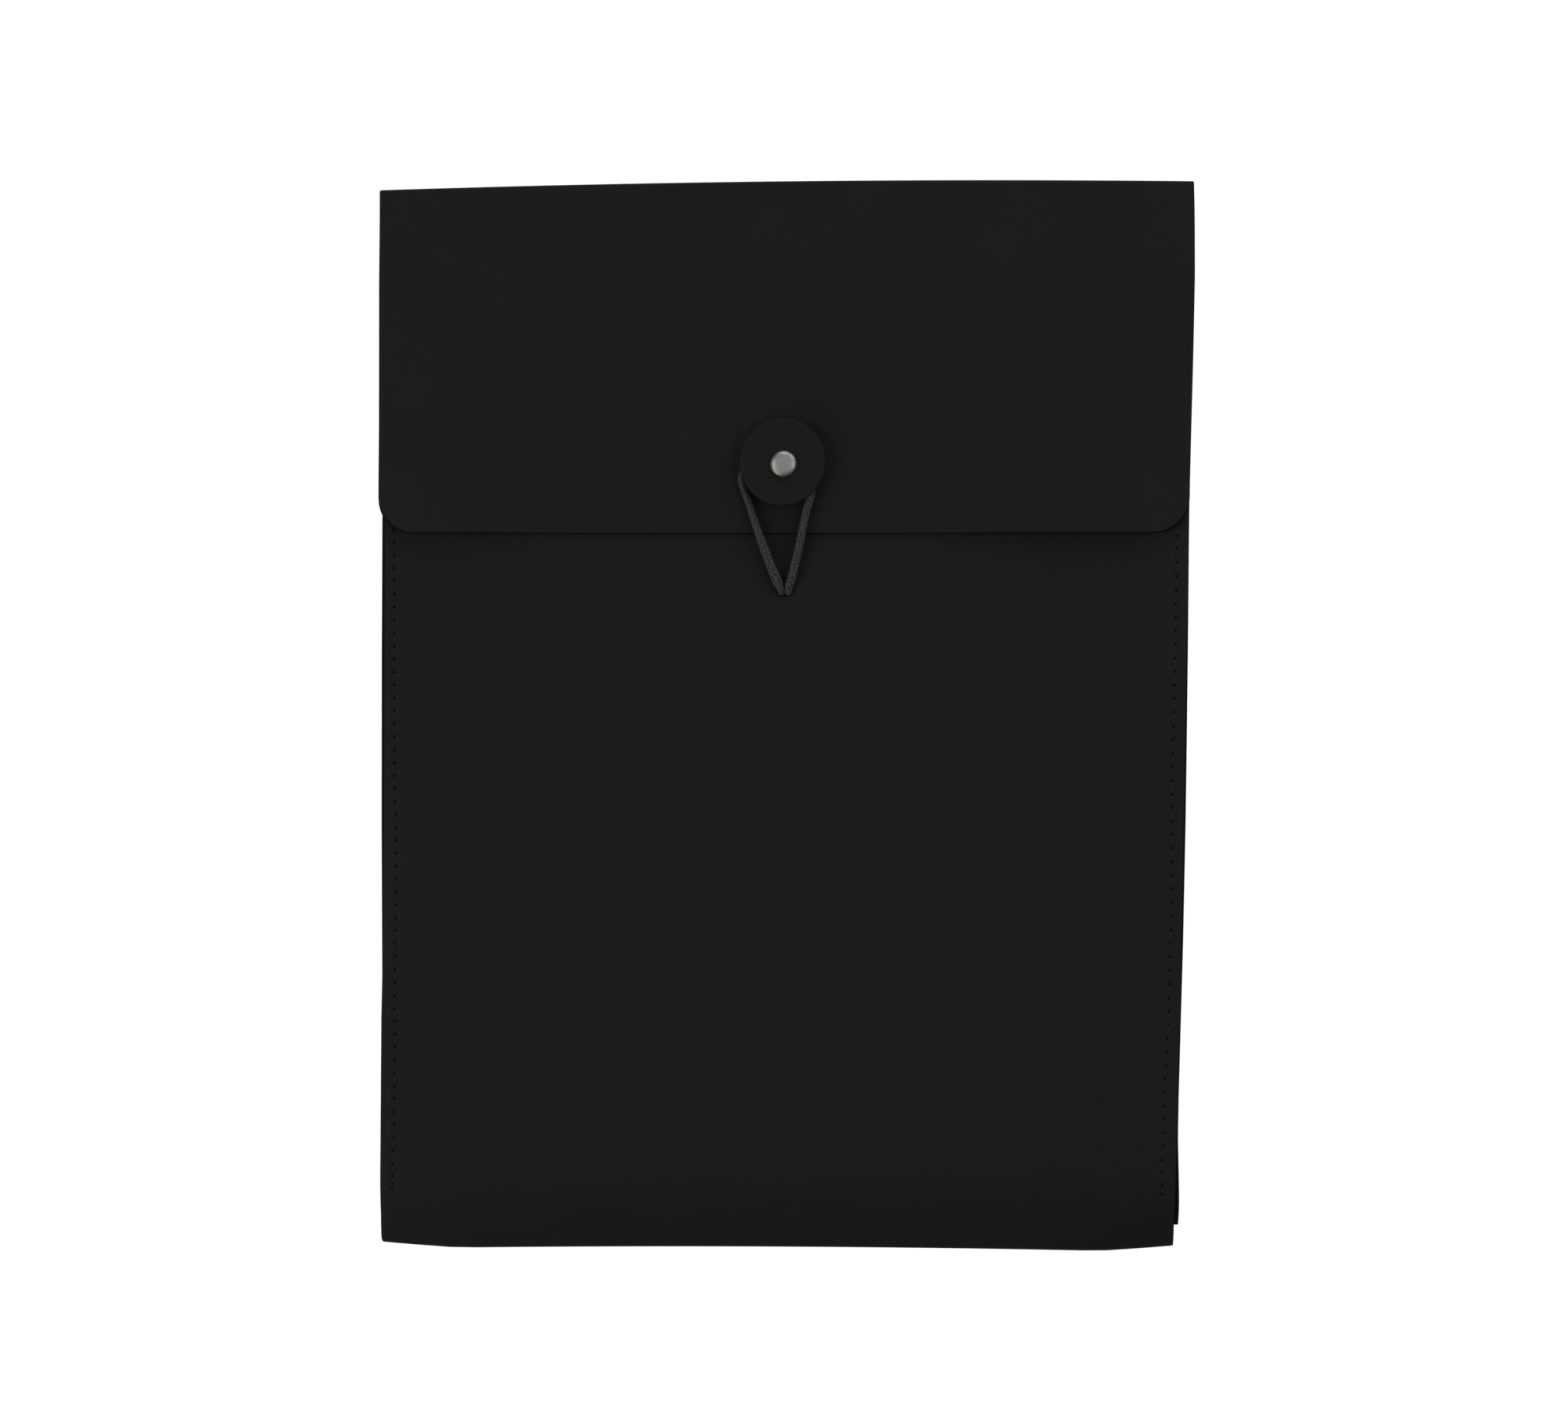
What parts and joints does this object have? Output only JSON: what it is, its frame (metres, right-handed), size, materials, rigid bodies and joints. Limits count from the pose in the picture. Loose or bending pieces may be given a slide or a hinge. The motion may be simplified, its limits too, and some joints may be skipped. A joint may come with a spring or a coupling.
{
  "type": "document wallet",
  "caption": "Flat A4 document wallet with folded side gussets, a wide folding flap and an elastic loop that hooks round a raised round button.",
  "frame": {"origin": "middle of the closed wallet's outline, on the surface that it lies on", "axes": "+Y up the wallet to the folded top edge, +Z out of the front, away from the table, +X to the right seen from the front"},
  "size_m": [0.2418, 0.32, 0.0227],
  "materials": {
    "leatherette": "matt black, very fine grain",
    "gusset": "matt black, folded",
    "thread": "waxed black sewing thread",
    "button": "matt black with a cut edge",
    "rivet": "polished nickel plate",
    "elastic": "round braid, dark grey"
  },
  "bodies": {
    "back": {"back_panel": "leatherette", "bottom_fold": "leatherette", "left_gusset_back_half": "gusset", "right_gusset_back_half": "gusset", "left_back_seam_thread": "thread", "right_back_seam_thread": "thread"},
    "front": {"front_panel": "leatherette", "left_gusset_front_half": "gusset", "right_gusset_front_half": "gusset", "left_front_seam_thread": "thread", "right_front_seam_thread": "thread", "loop_knot": "elastic"},
    "spine": {"spine": "leatherette"},
    "flap": {"flap": "leatherette", "button_spacer": "button", "button_disc": "button", "rivet_post": "rivet", "rivet_cap": "rivet"},
    "loop": {"elastic_loop": "elastic"}
  },
  "joints": [
    {"name": "spine_crease", "type": "hinge", "parent": "back", "child": "spine", "pos_m": [0, 0.16, 0], "axis": [-1, 0, 0], "range_deg": [0, 90]},
    {"name": "flap_crease", "type": "hinge", "parent": "spine", "child": "flap", "pos_m": [0, 0.16, 0.0155], "axis": [-1, 0, 0], "range_deg": [0, 85]},
    {"name": "front_opening", "type": "hinge", "parent": "back", "child": "front", "pos_m": [0, -0.156, 0.004], "axis": [1, 0, 0], "range_deg": [0, 1.5]},
    {"name": "loop_swing", "type": "hinge", "parent": "front", "child": "loop", "pos_m": [0, 0.0373, 0.0145], "axis": [1, 0, 0], "range_deg": [0, 170], "deforming": ["elastic_loop"]}
  ],
  "couplings": [
    {"joint": "flap_crease", "follows": "spine_crease", "ratio": 0.94444},
    {"joint": "front_opening", "follows": "spine_crease", "ratio": 0.016667},
    {"joint": "loop_swing", "follows": "spine_crease", "ratio": 1.8889}
  ]
}
